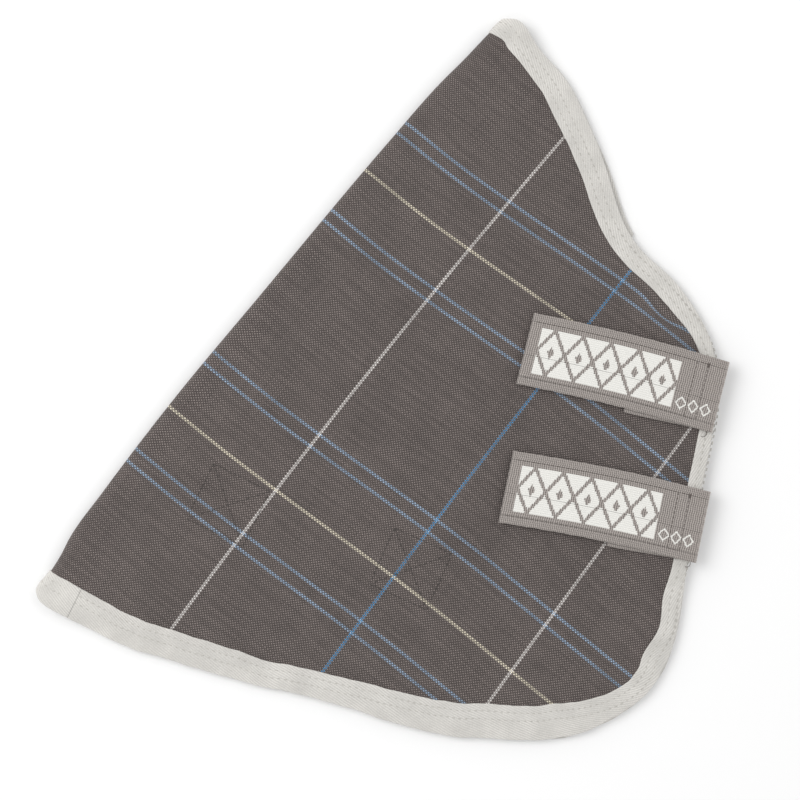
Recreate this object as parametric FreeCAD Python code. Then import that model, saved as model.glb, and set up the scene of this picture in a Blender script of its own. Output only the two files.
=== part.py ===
import FreeCAD, Part

import math
import os

# Neck cover of a horse rug, folded flat along its crest.
# Row frame: X along the crest, from the withers end (-) to the poll end (+); +Y towards the crest edge;
# +Z up, with the lower half's binding on Z = 0. The origin is the middle of the bounding box's bottom.
# Places on a half are given as (x, depth), where depth is measured down the neck from the crest hinge line.

# Driving dimensions, in millimetres and degrees.
COVER_DEPTH = 374.3        # crest hinge line to the lowest point of the base corner
CREST_MIDDLE_X = -1.0      # puts the origin in the middle of the cover's length
THICKNESS = 10.0           # both halves laid on each other, binding to binding
BINDING_LEG = 0.8          # thickness of the edge tape on each face
BINDING_WIDTH = 20.0       # width of the edge tape on each face
SHELL_THICK = 0.7
LINING_THICK = 0.6
BODY_GAP = 0.3             # air between pieces that move against each other
WEBBING_THICK = 1.2        # closure and rug strap webbing
WEBBING_WIDTH = 50.0
HOOK_THICK = 1.2
LOOP_THICK = 1.0
TAB_LENGTH = 138.0
TAB_UNDERLAP = 62.0        # length of the webbing turned back under the tab at its throat end
TAB_ROOT = 22.0            # throat end of the tab to the inner line of its box stitch
HOOK_START = 66.0          # from the throat end of the tab
HOOK_END_MARGIN = 4.0
HOOK_WIDTH = 42.0
PATCH_MARGIN = 2.0         # the loop patch ends this far inside the tab's free end
PATCH_WIDTH = 46.0
STRAP_ROOT = 25.0          # rug strap: its sewn end to the middle of its box stitch
STRAP_REACH = 80.0         # rug strap: middle of the box stitch to its free end
TAPE_THICK = 0.8           # hook and loop tapes of the rug straps
TAPE_WIDTH = 44.0
TAPE_LENGTH = 46.0
TAPE_MARGIN = 3.0

# Outer edge of one half, (x, depth), from the poll end of the crest round the throat and base to the withers end.
FREE_EDGE = [
    (255, 0), (259, 14), (255, 30), (249, 62), (239, 87),
    (220, 122), (205, 144), (194, 165), (190, 184), (189, 205),
    (184, 228), (176, 248), (164, 265), (111, 302), (41, 340),
    (2, 363), (-36, 373.5), (-78, 363), (-105, 345), (-131, 314),
    (-152, 284), (-171, 243), (-188, 201), (-213, 150), (-228, 114),
    (-246, 67), (-254, 30), (-257, 12), (-256, 0),
]

# Closure tabs: middle of the throat end as (x, depth), and the way to the free end in the XY plane.
TABS = {"front": ((146.0, 283.5), 115.1), "rear": ((69.7, 330.5), 117.5)}

# Rug straps: middle of the box stitch as (x, depth), and the way to the free end in the XY plane.
RUG_STRAPS = {"withers": ((-124.3, 69.0), 193.0), "chest": ((-79.0, 193.5), 195.0)}

# Levels that follow from the driving dimensions.
MID_Z = THICKNESS / 2
CREST_NOSE = MID_Z                                   # the fold stands this far past the hinge line
CREST_Y = (COVER_DEPTH - CREST_NOSE) / 2             # puts the origin in the middle of the box
SHELL_Z = BINDING_LEG                                # outer face of the lower shell
LINING_Z = SHELL_Z + SHELL_THICK
INNER_Z = LINING_Z + LINING_THICK                    # inner face of the lower lining
TOP_SHELL_Z = THICKNESS - BINDING_LEG                # outer face of the upper shell
HOOK_Z = TOP_SHELL_Z + LOOP_THICK + BODY_GAP         # underside of the tab's hook tape
FLAP_Z = HOOK_Z + HOOK_THICK                         # underside of the tab's webbing
TAB_TOP_Z = FLAP_Z + WEBBING_THICK
BIG = 2000.0                                         # larger than the whole part
EDGE_SAMPLES = 96                                    # points that carry an inset edge


def row_point(place, z=0.0):
    """A place (x, depth) as a point of the row frame."""
    x, depth = place
    return FreeCAD.Vector(x + CREST_MIDDLE_X, CREST_Y - depth, z)


def opened_curve():
    """The whole cover's edge, opened out flat: the free edge and its mirror image across the crest."""
    mirrored = [(x, -depth) for x, depth in reversed(FREE_EDGE[1:-1])]
    curve = Part.BSplineCurve()
    curve.interpolate(Points=[row_point(p) for p in FREE_EDGE + mirrored], PeriodicFlag=True)
    return curve


def opened_wire(inset):
    """The opened cover's edge moved inwards by inset, as a smooth closed curve."""
    edge = opened_curve()
    if not inset:
        return Part.Wire([edge.toShape()])
    points = []
    for i in range(EDGE_SAMPLES):
        share = i / EDGE_SAMPLES
        u = edge.FirstParameter + share * (edge.LastParameter - edge.FirstParameter)
        way = edge.tangent(u)[0]
        points.append(edge.value(u) + FreeCAD.Vector(way.y, -way.x, 0) * inset)
    moved = Part.BSplineCurve()
    moved.interpolate(Points=points, PeriodicFlag=True)
    return Part.Wire([moved.toShape()])


def opened_face(inset):
    """The opened cover, its edge moved inwards by inset."""
    return Part.Face(opened_wire(inset))


def opened_band(outer_inset, inner_inset):
    """The strip of the opened cover between two distances from its edge."""
    wires = [opened_wire(outer_inset), opened_wire(inner_inset)]
    return Part.makeFace(wires, "Part::FaceMakerBullseye")


def slab(face, z_low, z_high):
    """The lower half's share of an opened face, as a sheet between two levels."""
    sheet = face.extrude(FreeCAD.Vector(0, 0, z_high - z_low))
    sheet.translate(FreeCAD.Vector(0, 0, z_low))
    edge_y = CREST_Y - BODY_GAP / 2
    keep = Part.makeBox(BIG, BIG, BIG, FreeCAD.Vector(-BIG / 2, edge_y - BIG, -BIG / 2))
    return sheet.common(keep)


def upper(shape):
    """The upper half's twin of a lower piece."""
    return shape.mirror(FreeCAD.Vector(0, 0, MID_Z), FreeCAD.Vector(0, 0, 1))


def one_solid(shape):
    """The only solid of a boolean's result."""
    shape = shape.removeSplitter()
    if len(shape.Solids) != 1 or not shape.isValid():
        raise ValueError(f"expected one valid solid, found {len(shape.Solids)}")
    return shape.Solids[0]


def half_skins():
    """Shell, lining and edge binding of the lower half."""
    body = opened_face(BINDING_LEG)
    shell = slab(body, SHELL_Z, LINING_Z)
    lining = slab(body, LINING_Z, INNER_Z)
    tape = opened_band(0, BINDING_WIDTH)
    outer_leg = slab(tape, 0, SHELL_Z)
    inner_leg = slab(tape, INNER_Z, INNER_Z + BINDING_LEG)
    edge_wall = slab(opened_band(0, BINDING_LEG), 0, INNER_Z + BINDING_LEG)
    binding = outer_leg.fuse([edge_wall, inner_leg])
    return one_solid(shell), one_solid(lining), one_solid(binding)


def crest_roll(x_start, x_end, r_outer, r_inner):
    """Half a tube along the crest, open towards the cover: cloth that turns round the fold."""
    centre = FreeCAD.Vector(x_start, CREST_Y, MID_Z)
    along = FreeCAD.Vector(1, 0, 0)
    tube = Part.makeCylinder(r_outer, x_end - x_start, centre, along)
    tube = tube.cut(Part.makeCylinder(r_inner, x_end - x_start, centre, along))
    keep = Part.makeBox(BIG, BIG, BIG, FreeCAD.Vector(-BIG / 2, CREST_Y, -BIG / 2))
    return tube.common(keep)


def crest_binding(x_edge, inwards):
    """The edge tape where it turns round the fold at one end of the crest; inwards is +1 or -1 along X."""
    x_inner = x_edge + inwards * BINDING_WIDTH
    x_wall = x_edge + inwards * BINDING_LEG
    low, high = sorted((x_edge, x_inner))
    wall_low, wall_high = sorted((x_edge, x_wall))
    r_shell = MID_Z - SHELL_Z
    r_lining = MID_Z - INNER_Z
    outer_leg = crest_roll(low, high, MID_Z, r_shell)
    inner_leg = crest_roll(low, high, r_lining, r_lining - BINDING_LEG)
    edge_wall = crest_roll(wall_low, wall_high, MID_Z, r_lining - BINDING_LEG)
    return one_solid(outer_leg.fuse([edge_wall, inner_leg]))


def placed(shape, place, heading):
    """A strap piece, made with its own origin and its length along +X, put at (x, depth) on that heading."""
    shape.rotate(FreeCAD.Vector(0, 0, 0), FreeCAD.Vector(0, 0, 1), heading)
    shape.translate(row_point(place))
    return shape


def strap_block(along, width, z_low, z_high):
    """A flat length of webbing or tape, centred on its strap's line."""
    start, end = along
    return Part.makeBox(end - start, width, z_high - z_low, FreeCAD.Vector(start, -width / 2, z_low))


def tab_root_webbing():
    """The sewn end of a tab: a long under-layer, the fold at the throat end, and the short upper layer."""
    under_z = THICKNESS
    radius = (TAB_TOP_Z - under_z) / 2
    slot_radius = radius - WEBBING_THICK
    mid_z = under_z + radius

    def rounded(r, end):
        half_width = WEBBING_WIDTH / 2
        barrel = Part.makeCylinder(r, WEBBING_WIDTH, FreeCAD.Vector(radius, -half_width, mid_z),
                                   FreeCAD.Vector(0, 1, 0))
        return barrel.fuse(strap_block((radius, end), WEBBING_WIDTH, mid_z - r, mid_z + r))

    webbing = rounded(radius, TAB_UNDERLAP).cut(rounded(slot_radius, TAB_UNDERLAP + 1))
    spare = strap_block((TAB_ROOT, TAB_UNDERLAP + 1), WEBBING_WIDTH + 1, mid_z, TAB_TOP_Z + 1)
    return one_solid(webbing.cut(spare))


def tab_pieces():
    """One closure tab, as (root webbing, flap webbing, hook tape) in the tab's own place."""
    flap = strap_block((TAB_ROOT + BODY_GAP, TAB_LENGTH), WEBBING_WIDTH, FLAP_Z, TAB_TOP_Z)
    hook = strap_block((HOOK_START, TAB_LENGTH - HOOK_END_MARGIN), HOOK_WIDTH, HOOK_Z, FLAP_Z)
    return tab_root_webbing(), flap, hook


def loop_patch():
    """The loop patch that a tab presses onto, on the upper shell, in the tab's own place."""
    along = (HOOK_START - PATCH_MARGIN, TAB_LENGTH - PATCH_MARGIN)
    return strap_block(along, PATCH_WIDTH, TOP_SHELL_Z, TOP_SHELL_Z + LOOP_THICK)


def outer_loop_patch():
    """The loop patch on the lower half's outer face, no prouder than the edge binding."""
    along = (HOOK_START - PATCH_MARGIN, TAB_LENGTH - PATCH_MARGIN)
    return strap_block(along, PATCH_WIDTH, 0, SHELL_Z)


def rug_strap_pieces():
    """One rug strap on the lower lining: webbing, loop tape at its sewn end, hook tape at its free end."""
    web_top = INNER_Z + WEBBING_THICK
    webbing = strap_block((-STRAP_ROOT, STRAP_REACH), WEBBING_WIDTH, INNER_Z, web_top)
    loop_start = TAPE_MARGIN - STRAP_ROOT
    loop = strap_block((loop_start, loop_start + TAPE_LENGTH), TAPE_WIDTH, web_top, web_top + TAPE_THICK)
    hook_end = STRAP_REACH - TAPE_MARGIN
    hook = strap_block((hook_end - TAPE_LENGTH, hook_end), TAPE_WIDTH, web_top, web_top + TAPE_THICK)
    return webbing, loop, hook


def build():
    """Every node of the part, by name."""
    nodes = {}
    for kind, piece in zip(("shell", "lining", "binding"), half_skins()):
        nodes[f"lower_{kind}"] = piece
        nodes[f"upper_{kind}"] = upper(piece)

    poll_x, withers_x = row_point(FREE_EDGE[0]).x, row_point(FREE_EDGE[-1]).x
    shell_ends = (withers_x + BINDING_LEG, poll_x - BINDING_LEG)
    nodes["crest_shell_fold"] = crest_roll(*shell_ends, MID_Z - SHELL_Z, MID_Z - LINING_Z)
    nodes["crest_lining_fold"] = crest_roll(*shell_ends, MID_Z - LINING_Z, MID_Z - INNER_Z)
    nodes["crest_binding_poll"] = crest_binding(poll_x, -1)
    nodes["crest_binding_withers"] = crest_binding(withers_x, 1)

    for name, (place, heading) in TABS.items():
        root, flap, hook = tab_pieces()
        nodes[f"{name}_tab_root"] = placed(root, place, heading)
        nodes[f"{name}_tab_flap"] = placed(flap, place, heading)
        nodes[f"{name}_tab_hook"] = placed(hook, place, heading)
        nodes[f"upper_loop_patch_{name}"] = placed(loop_patch(), place, heading)
        nodes[f"lower_loop_patch_{name}"] = placed(outer_loop_patch(), place, heading)

    for name, (place, heading) in RUG_STRAPS.items():
        for kind, piece in zip(("webbing", "loop", "hook"), rug_strap_pieces()):
            lower_piece = placed(piece, place, heading)
            nodes[f"lower_{name}_strap_{kind}"] = lower_piece
            nodes[f"upper_{name}_strap_{kind}"] = upper(lower_piece)
    return nodes


os.makedirs("parts", exist_ok=True)
whole = FreeCAD.BoundBox()
for node, shape in build().items():
    shape.exportStep(f"parts/{node}.step")
    whole.add(shape.BoundBox)
    print(f"{node}: {shape.Volume:.0f} mm3, {len(shape.Faces)} faces, valid {shape.isValid()}")
print(f"X {whole.XMin:.2f}..{whole.XMax:.2f}  Y {whole.YMin:.2f}..{whole.YMax:.2f}  Z {whole.ZMin:.2f}..{whole.ZMax:.2f}")
for name, (place, heading) in TABS.items():
    way = FreeCAD.Vector(math.cos(math.radians(heading)), math.sin(math.radians(heading)), 0)
    pivot = row_point(place, TAB_TOP_Z + BODY_GAP / 2) + way * TAB_ROOT
    print(f"{name} tab hinge at {pivot}, axis {way.cross(FreeCAD.Vector(0, 0, 1))}")
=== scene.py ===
import math

import bpy
import numpy as np
from mathutils import Matrix, Vector


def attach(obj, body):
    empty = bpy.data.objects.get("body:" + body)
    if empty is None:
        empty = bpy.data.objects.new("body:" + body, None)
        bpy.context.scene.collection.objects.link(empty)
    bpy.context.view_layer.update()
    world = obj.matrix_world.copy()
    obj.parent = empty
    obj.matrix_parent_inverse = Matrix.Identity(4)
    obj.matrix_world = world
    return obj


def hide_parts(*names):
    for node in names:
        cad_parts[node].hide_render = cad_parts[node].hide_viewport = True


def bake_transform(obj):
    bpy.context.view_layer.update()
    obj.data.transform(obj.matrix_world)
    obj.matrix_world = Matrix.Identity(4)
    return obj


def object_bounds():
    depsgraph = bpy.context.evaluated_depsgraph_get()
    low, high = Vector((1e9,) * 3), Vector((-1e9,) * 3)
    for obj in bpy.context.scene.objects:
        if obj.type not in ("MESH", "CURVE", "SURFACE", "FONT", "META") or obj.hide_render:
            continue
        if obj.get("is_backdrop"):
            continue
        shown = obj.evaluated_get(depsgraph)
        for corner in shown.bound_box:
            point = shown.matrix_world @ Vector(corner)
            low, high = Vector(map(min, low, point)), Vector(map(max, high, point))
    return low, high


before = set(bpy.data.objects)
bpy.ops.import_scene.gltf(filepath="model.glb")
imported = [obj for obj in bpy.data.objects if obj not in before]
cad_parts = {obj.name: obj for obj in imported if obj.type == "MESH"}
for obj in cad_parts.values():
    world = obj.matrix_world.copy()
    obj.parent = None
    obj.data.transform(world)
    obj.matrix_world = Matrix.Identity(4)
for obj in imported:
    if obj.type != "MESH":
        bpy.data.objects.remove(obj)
cad_low, cad_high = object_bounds()

# Neck cover of a horse rug, folded flat along its crest. Sizes are in millimetres until a mesh is made. A
# place on the opened cover is (x, d): x along the crest, and d across it, which is the depth down the neck on
# the upper half and minus that depth on the lower half. Lift is the height above the seam between shell and
# lining, towards the outside of the cover.
MM = 0.001

# Sizes that the cover was made to, the same as in the CAD.
COVER_DEPTH = 374.3
CREST_MIDDLE_X = -1.0
MID_Z = 5.0
BINDING_LEG = 0.8
SHELL_THICK = 0.7
LINING_THICK = 0.6
WEBBING_THICK = 1.2
WEBBING_WIDTH = 50.0
LOOP_THICK = 1.0
TAPE_THICK = 0.8
TAB_LENGTH = 138.0
TAB_UNDERLAP = 62.0
TAB_ROOT = 22.0
HOOK_START = 66.0
HOOK_END = 134.0
HOOK_WIDTH = 42.0
PATCH_START = 64.0
PATCH_END = 136.0
PATCH_WIDTH = 46.0
TAB_BED_Z = 10.0
FLAP_Z = 11.7
STRAP_START = -25.0
STRAP_END = 80.0
TAPE_WIDTH = 44.0
TAPE_LENGTH = 46.0
TAPE_MARGIN = 3.0
CREST_Y = (COVER_DEPTH - MID_Z) / 2
SEAM_Z = MID_Z - BINDING_LEG - SHELL_THICK  # height of the seam above the middle
LINING_LIFT = -LINING_THICK
BINDING_TOP = SHELL_THICK + BINDING_LEG
BINDING_BOTTOM = LINING_LIFT - BINDING_LEG

FREE_EDGE = [
    (255, 0), (259, 14), (255, 30), (249, 62), (239, 87),
    (220, 122), (205, 144), (194, 165), (190, 184), (189, 205),
    (184, 228), (176, 248), (164, 265), (111, 302), (41, 340),
    (2, 363), (-36, 373.5), (-78, 363), (-105, 345), (-131, 314),
    (-152, 284), (-171, 243), (-188, 201), (-213, 150), (-228, 114),
    (-246, 67), (-254, 30), (-257, 12), (-256, 0),
]
TABS = {"front": ((146.0, 283.5), 115.1), "rear": ((69.7, 330.5), 117.5)}
RUG_STRAPS = {"withers": ((-124.3, 69.0), 193.0), "chest": ((-79.0, 193.5), 195.0)}

# The crest: how far the fold stands past the hinge line, at places along x. The bound corners sag below it.
CREST_BOW = [
    (-257, -2.6), (-236, -3.0), (-224, -1.6), (-212, 1.0), (-171, 3.6), (-91, 6.2), (0, 5.4),
    (139, 3.6), (192, 1.7), (216, -0.8), (236, -2.2), (247, -3.0), (257, -3.2),
]
FOLD_DEPTH = 12.0  # the crest pieces reach this far down each half
FOLD_REACH = 8.0  # half an ellipse, this long and SEAM_Z high, turns the cloth round the crest
FOLD_CLOTH = 16.6  # cloth from the nose of the fold to FOLD_DEPTH
CORNER_ROUND = (4.0, 2.0)  # how far the cover's corners are rounded off at the withers and the poll

# The cloth's weave and check: thread spacing, and where the coloured threads run.
THREAD = 1.12
ACROSS_BLUE = (156.2, 147.2, 77.5, 68.0, -49.6, -59.2, -134.6, -144.8)
ACROSS_BEIGE = (112.9, -97.2)
ALONG_BLUE = (189.7, -14.0, -214.0)
ALONG_WHITE = (90.2, 290.9, -114.0, -314.0)


def smoothstep(t):
    t = np.clip(t, 0, 1)
    return t * t * (3 - 2 * t)


def plateau(at, start, end, soft):
    """1 between start and end, and 0 further than soft outside them."""
    return smoothstep((at - start) / soft + 1) * smoothstep((end - at) / soft + 1)


def hill(at, middle, width):
    return np.exp(-(((at - middle) / width) ** 2))


def ripple(at, wavelength, seed):
    """A gentle irregular wave, mostly between -1 and 1."""
    phases = np.random.default_rng(seed).random(4) * 2 * math.pi
    waves = [np.sin(at * 2 * math.pi / wavelength * k + p) for k, p in zip((1, 1.63, 2.41, 3.77), phases)]
    return sum(w / k for w, k in zip(waves, (1.4, 2.2, 3.4, 5)))


def smooth_line(points):
    """A smooth function through (place, value) points, level beyond its ends."""
    at, value = np.array(points, float).T
    slope = np.gradient(value, at)
    slope[[0, -1]] = 0

    def line(x):
        x = np.clip(x, at[0], at[-1])
        i = np.clip(np.searchsorted(at, x) - 1, 0, len(at) - 2)
        h = at[i + 1] - at[i]
        t = (x - at[i]) / h
        rise = value[i + 1] - value[i]
        return (value[i] + rise * t * t * (3 - 2 * t)
                + h * t * (1 - t) * (slope[i] * (1 - t) - slope[i + 1] * t))

    return line


def lengths_along(points):
    """Distance along a line of points to each of them."""
    return np.concatenate([[0], np.cumsum(np.linalg.norm(np.diff(points, axis=0), axis=1))])


def closed_spline(points, per_span):
    """Points along the smooth closed curve through the given ones, per_span of them from each to the next."""
    p = np.array(points, float)
    n = len(p)
    ahead = np.linalg.norm(np.roll(p, -1, 0) - p, axis=1)
    behind = np.roll(ahead, 1)
    i = np.arange(n)
    matrix = np.diag(2 * (ahead + behind))
    matrix[i, i - 1] += behind
    matrix[i, (i + 1) % n] += ahead
    slope = (np.roll(p, -1, 0) - p) / ahead[:, None]
    bend = np.linalg.solve(matrix, 6 * (slope - np.roll(slope, 1, 0)))
    t = (np.arange(per_span) / per_span)[None, :, None]
    h = ahead[:, None, None]
    here, there = p[:, None], np.roll(p, -1, 0)[:, None]
    bend_here, bend_there = bend[:, None], np.roll(bend, -1, 0)[:, None]
    curve = ((1 - t) * here + t * there
             + h * h / 6 * (((1 - t) ** 3 - (1 - t)) * bend_here + (t ** 3 - t) * bend_there))
    return curve.reshape(-1, 2)


# The opened cover's edge as a loop of places. Distance s along it is 0 at the poll end of the crest, positive
# on the upper half up to HALF_EDGE at the withers end, and negative on the lower half.
PER_SPAN = 40
half_loop = closed_spline(FREE_EDGE + [(x, -d) for x, d in reversed(FREE_EDGE[1:-1])], PER_SPAN)
half_loop = half_loop[:PER_SPAN * (len(FREE_EDGE) - 1) + 1]
half_s = lengths_along(half_loop)
HALF_EDGE = half_s[-1]
loop_s = np.concatenate([-half_s[:0:-1], half_s])
loop_place = np.concatenate([half_loop[:0:-1] * (1, -1), half_loop])


def on_loop(s):
    """The place at distances s along the edge loop."""
    wrapped = (s + HALF_EDGE) % (2 * HALF_EDGE) - HALF_EDGE
    return np.stack([np.interp(wrapped, loop_s, column) for column in loop_place.T], -1)


END_POINTS = 5 * PER_SPAN  # enough of the edge's points to pass FOLD_DEPTH
POLL_END, WITHERS_END = slice(END_POINTS), slice(None, -END_POINTS, -1)


def s_at_depth(depth, end):
    """Distance along the upper half's edge to a depth near one end of the crest."""
    return np.interp(depth, half_loop[end, 1], half_s[end])


def s_nearest(place):
    return float(half_s[np.argmin(np.linalg.norm(half_loop - np.array(place), axis=1))])


S_POLL = float(s_at_depth(FOLD_DEPTH, POLL_END))
S_WITHERS = float(s_at_depth(FOLD_DEPTH, WITHERS_END))
S_NOTCH = s_nearest((194, 167))  # the upper half's edge steps out over the lower half's here
S_FRONT_TAB = s_nearest(TABS["front"][0])
S_REAR_TAB = s_nearest(TABS["rear"][0])
S_CORNER = s_nearest((-36, 373.5))
CHORD = 12.0  # the edge's direction is taken over this distance either way


# The lower half shows this far past the upper one, beside the poll, at the notch and round the base corner.
POLL_PEEK, NOTCH_PEEK, BASE_PEEK = 0.8, 3.0, 0.9
BASE_FULLNESS = 0.9  # the base edge stands this far out past the smooth outline
EDGE_WANDER = 0.35


def from_poll(s):
    """Distance along either half's edge from the poll end of the crest."""
    return np.abs((s + HALF_EDGE) % (2 * HALF_EDGE) - HALF_EDGE)


def edge_place(s, inset):
    """Places on the cover's edge at distances s, moved inwards by inset."""
    chord = on_loop(s + CHORD) - on_loop(s - CHORD)
    chord /= np.linalg.norm(chord, axis=-1)[..., None]
    outwards = np.stack([chord[..., 1], -chord[..., 0]], -1)
    half = from_poll(s)
    lower = (s % (2 * HALF_EDGE)) > HALF_EDGE
    peek = POLL_PEEK + (NOTCH_PEEK - POLL_PEEK) * smoothstep((half - 105) / 50)
    peek *= smoothstep((half - 10) / 18) * (half < S_NOTCH)
    peek += BASE_PEEK * plateau(half, S_CORNER - 70, S_CORNER + 60, 35)
    fullness = BASE_FULLNESS * plateau(half, S_CORNER + 70, HALF_EDGE - 40, 40)
    outset = np.where(lower, peek, 0.0) + fullness
    outset += EDGE_WANDER * ripple(half + 300 * lower, 46, 5) * plateau(half, S_CORNER, HALF_EDGE - 60, 40)
    return on_loop(s) + outwards * (outset - inset)[..., None]


def nearest_edge(x, d):
    """Distance of places from the free edge, and the distance along it of the nearest edge point."""
    flat = np.stack([x.ravel(), np.abs(d).ravel()], -1)
    edge = half_loop[::4]
    away, index = np.empty(len(flat)), np.empty(len(flat), int)
    for start in range(0, len(flat), 4000):
        part = flat[start:start + 4000]
        gap = ((part[:, None] - edge[None]) ** 2).sum(-1)
        index[start:start + 4000] = gap.argmin(1)
        away[start:start + 4000] = np.sqrt(gap.min(1))
    return away.reshape(x.shape), half_s[::4][index].reshape(x.shape)


crest_bow = smooth_line(CREST_BOW)
fold_angles = np.linspace(0, math.pi / 2, 60)
fold_points = np.stack([FOLD_REACH * np.cos(fold_angles), SEAM_Z * np.sin(fold_angles)], -1)
fold_lengths = lengths_along(fold_points)


EDGE_DROOP, DROOP_REACH = 3.9, 36.0  # how far the upper half's edge sags, and how far in the sag starts
TAB_SUPPORT = 3.5  # how much of the sag the tabs' under-layers take up
PUCKER = 0.45


def relief(x, d):
    """How far the cloth of each half lies above or below its own flat level."""
    depth = np.abs(d)
    away, s = nearest_edge(x, d)
    from_crest = smoothstep((depth - FOLD_DEPTH) / 45)
    by_tabs = plateau(s, S_FRONT_TAB - 12, S_REAR_TAB + 12, 45)
    droop = (EDGE_DROOP - TAB_SUPPORT * by_tabs) * (1 - smoothstep(away / DROOP_REACH))
    waves = 0.34 * np.sin(x / 31 + d / 44 + 0.6) + 0.24 * np.sin(x / 17 - d / 25 + 2.0)
    gathers = plateau(s, S_REAR_TAB + 25, S_CORNER + 20, 30) + 0.5 * plateau(s, S_NOTCH, S_FRONT_TAB - 40, 30)
    puckers = PUCKER * ripple(s, 24, 11) * gathers * smoothstep(away / 10)
    puckers *= 1 - smoothstep((away - 14) / 34)
    upper = -droop + waves * smoothstep(away / 40) * (1 - 0.7 * by_tabs) + puckers
    lower = (0.3 + 0.3 * np.sin(x / 40 - d / 33) + 0.4 * puckers) * smoothstep(away / 30)
    return np.where(d < 0, lower, upper) * from_crest


def spot(x, d, lift):
    """The points, in the row frame, of places on the folded cover at a lift."""
    x, d, lift = np.broadcast_arrays(*(np.asarray(value, float) for value in (x, d, lift)))
    side = np.where(d < 0, -1.0, 1.0)
    depth = np.abs(d)
    flat = depth >= FOLD_DEPTH
    height = SEAM_Z + lift
    y = CREST_Y - depth
    z = MID_Z + side * height + relief(x, d) * flat

    nose = crest_bow(x) - SHELL_THICK
    reach = np.minimum(FOLD_REACH, FOLD_DEPTH + nose - 0.5)
    turn_length = fold_lengths[-1] * (reach + SEAM_Z) / (FOLD_REACH + SEAM_Z)
    along = depth / FOLD_DEPTH * (FOLD_DEPTH + nose - reach + turn_length)
    angle = np.interp(along / turn_length * fold_lengths[-1], fold_lengths, fold_angles)
    straight = np.maximum(along - turn_length, 0)
    out_y, out_z = SEAM_Z * np.cos(angle), reach * np.sin(angle)
    size = np.hypot(out_y, out_z)
    fold_y = CREST_Y + nose - reach + reach * np.cos(angle) - straight + lift * out_y / size
    fold_z = MID_Z + side * (SEAM_Z * np.sin(angle) + lift * out_z / size)
    inwards = np.where(x > 0, -CORNER_ROUND[1], CORNER_ROUND[0])
    rounding = inwards * (1 - depth / FOLD_DEPTH) ** 2 * smoothstep((np.abs(x) - 225) / 30)
    x = np.where(flat, x, x + rounding)
    return np.stack([x + CREST_MIDDLE_X, np.where(flat, y, fold_y), np.where(flat, z, fold_z)], -1)


# Away from the crest the threads run towards the poll by THREAD_SHIFT, and apart by a share THREAD_SPREAD.
THREAD_SHIFT, THREAD_SPREAD = 9.6, 0.0185
TAB_PULL = 5.4  # the front tab's seam pulls the threads beside it


def thread_place(x, d):
    """Where places lie in the cloth's own threads, which making up bent and spread a little."""
    depth = np.abs(d)
    cloth = np.where(depth < FOLD_DEPTH, depth * FOLD_CLOTH / FOLD_DEPTH, depth + FOLD_CLOTH - FOLD_DEPTH)
    cloth = cloth * np.sign(d)
    spread = smoothstep((depth - 20) / 220)
    across = (x - THREAD_SHIFT * spread) / (1 + THREAD_SPREAD * spread)
    across = across + TAB_PULL * hill(depth, 218, 13) * smoothstep((x - 159) / 7)
    below = np.maximum(cloth, -20) - 90
    along = cloth + x * (0.0105 + 0.0002 * below) - x * x * (8.7e-5 - 4e-7 * below)
    return across, along


# Meshes.

def add_object(name, data):
    made = bpy.data.objects.new(name, data)
    bpy.context.scene.collection.objects.link(made)
    return made


def mesh_object(name, points, faces, cloth, material, sharp=50):
    """A piece from points in millimetres, with its flat pattern place kept for the materials."""
    mesh = bpy.data.meshes.new(name)
    mesh.from_pydata((np.asarray(points) * MM).tolist(), [], [list(map(int, f)) for f in faces])
    attribute = mesh.attributes.new("cloth", "FLOAT_VECTOR", "POINT")
    flat = np.pad(np.asarray(cloth, np.float32), ((0, 0), (0, 1)))
    attribute.data.foreach_set("vector", flat.ravel())
    mesh.shade_smooth()
    mesh.set_sharp_from_angle(angle=math.radians(sharp))
    mesh.materials.append(material)
    return add_object(name, mesh)


def slab(name, outer, inner, cloth, material, flipped=False):
    """A closed sheet between two grids of points. cloth is the grid of their places on the flat pattern."""
    rows, cols = outer.shape[:2]
    index = np.arange(rows * cols).reshape(rows, cols)
    quads = np.stack([index[:-1, :-1], index[1:, :-1], index[1:, 1:], index[:-1, 1:]], -1).reshape(-1, 4)
    rim = np.concatenate([index[0, :-1], index[:-1, -1], index[-1, :0:-1], index[:0:-1, 0]])
    ahead = np.roll(rim, -1)
    other = rows * cols
    walls = np.stack([rim, ahead, ahead + other, rim + other], -1)
    faces = np.concatenate([quads, quads[:, ::-1] + other, walls])
    if flipped:
        faces = faces[:, ::-1]
    points = np.concatenate([outer.reshape(-1, 3), inner.reshape(-1, 3)])
    pattern = np.concatenate([cloth.reshape(-1, 2)] * 2)
    return mesh_object(name, points, faces, pattern, material)


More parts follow.
